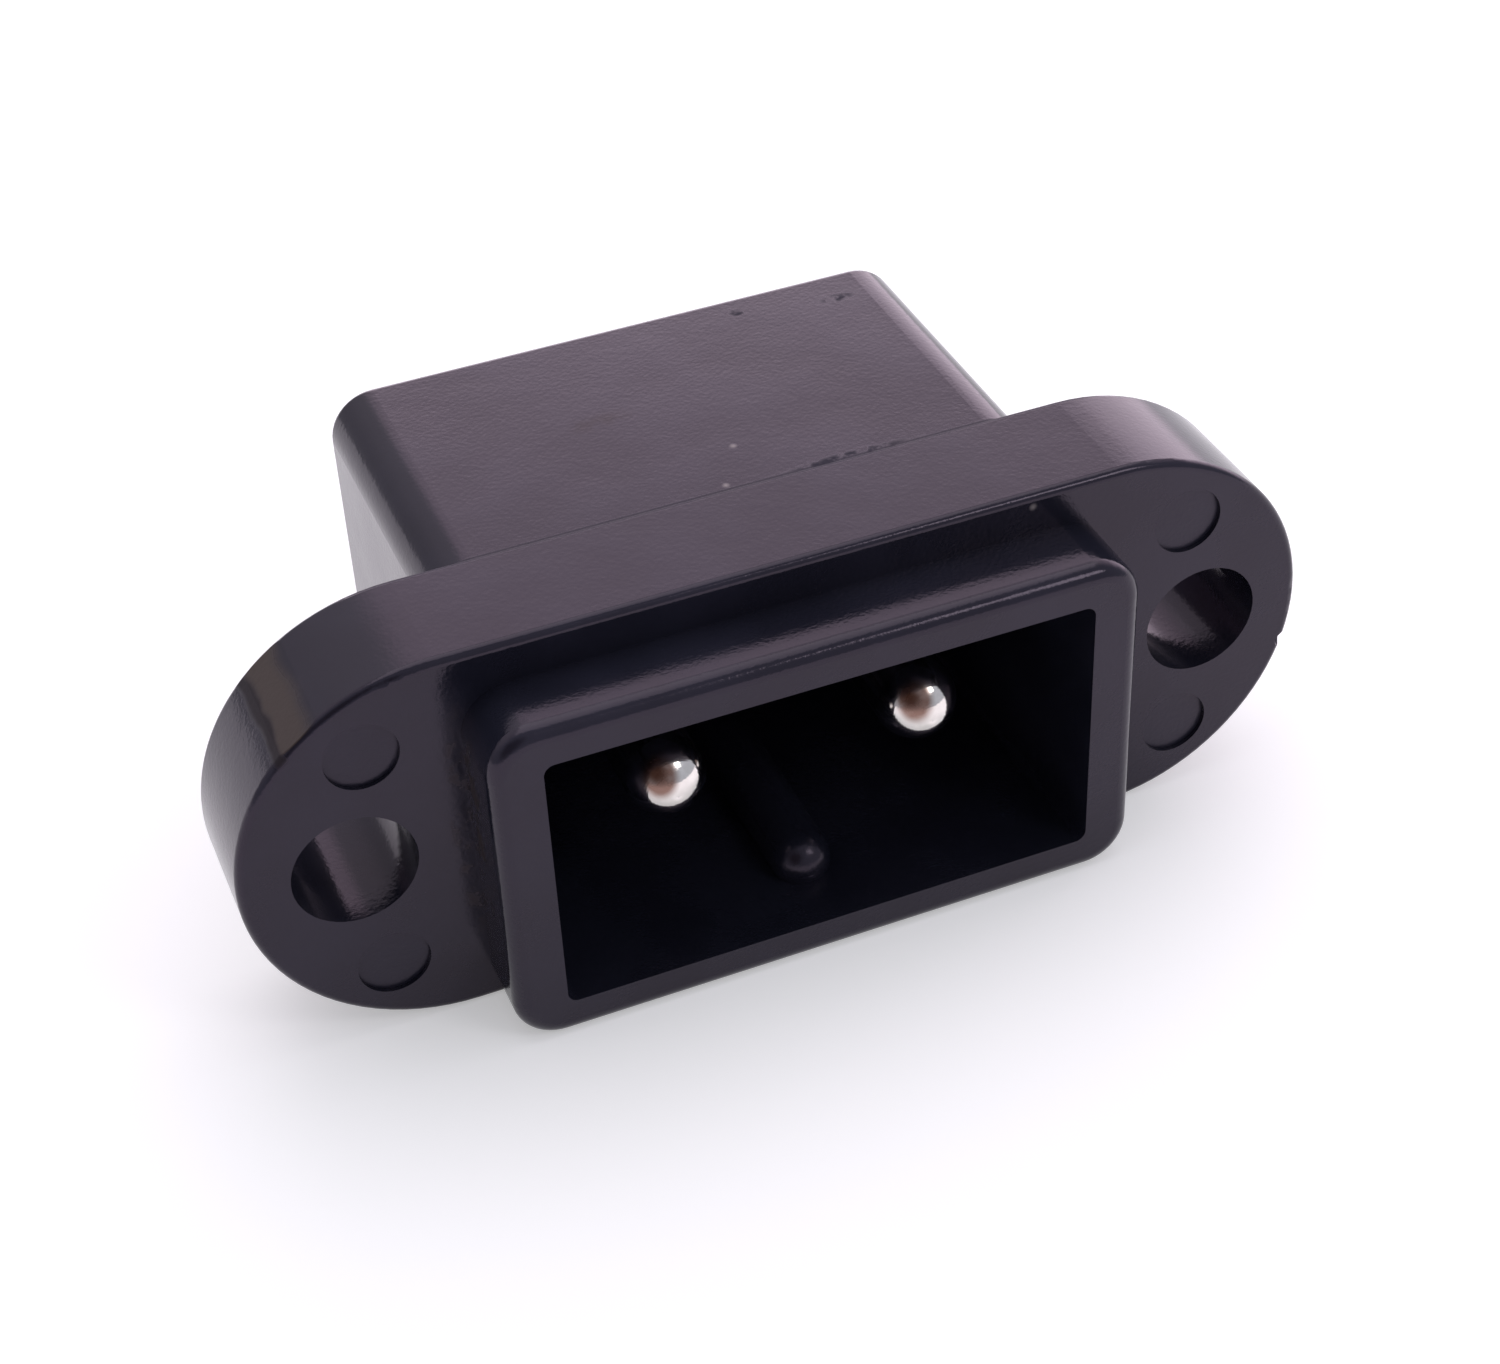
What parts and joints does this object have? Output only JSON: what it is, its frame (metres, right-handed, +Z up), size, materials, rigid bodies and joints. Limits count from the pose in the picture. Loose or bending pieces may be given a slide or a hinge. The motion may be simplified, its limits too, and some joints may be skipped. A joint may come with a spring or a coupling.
{
  "type": "panel mount socket",
  "caption": "Panel mount inlet socket: a black round-ended screw flange with a box body behind it and a shallow collar in front, around domed contact pins and a polarising rib.",
  "frame": {"origin": "midway between the screw holes, on the flange's front face, which lies against the back of the panel", "axes": "+X along the flange from screw hole to screw hole, -Y towards the plug and out of the collar's mouth, +Z up; the polarising rib is at the bottom"},
  "size_m": [0.04, 0.0252, 0.0152],
  "materials": {
    "black_plastic": "black moulded thermoplastic, semi-gloss",
    "plated_contact": "turned brass with bright nickel plating"
  },
  "bodies": {
    "root": {"housing": "black_plastic", "contact_pin_left": "plated_contact", "contact_pin_right": "plated_contact"}
  },
  "joints": []
}
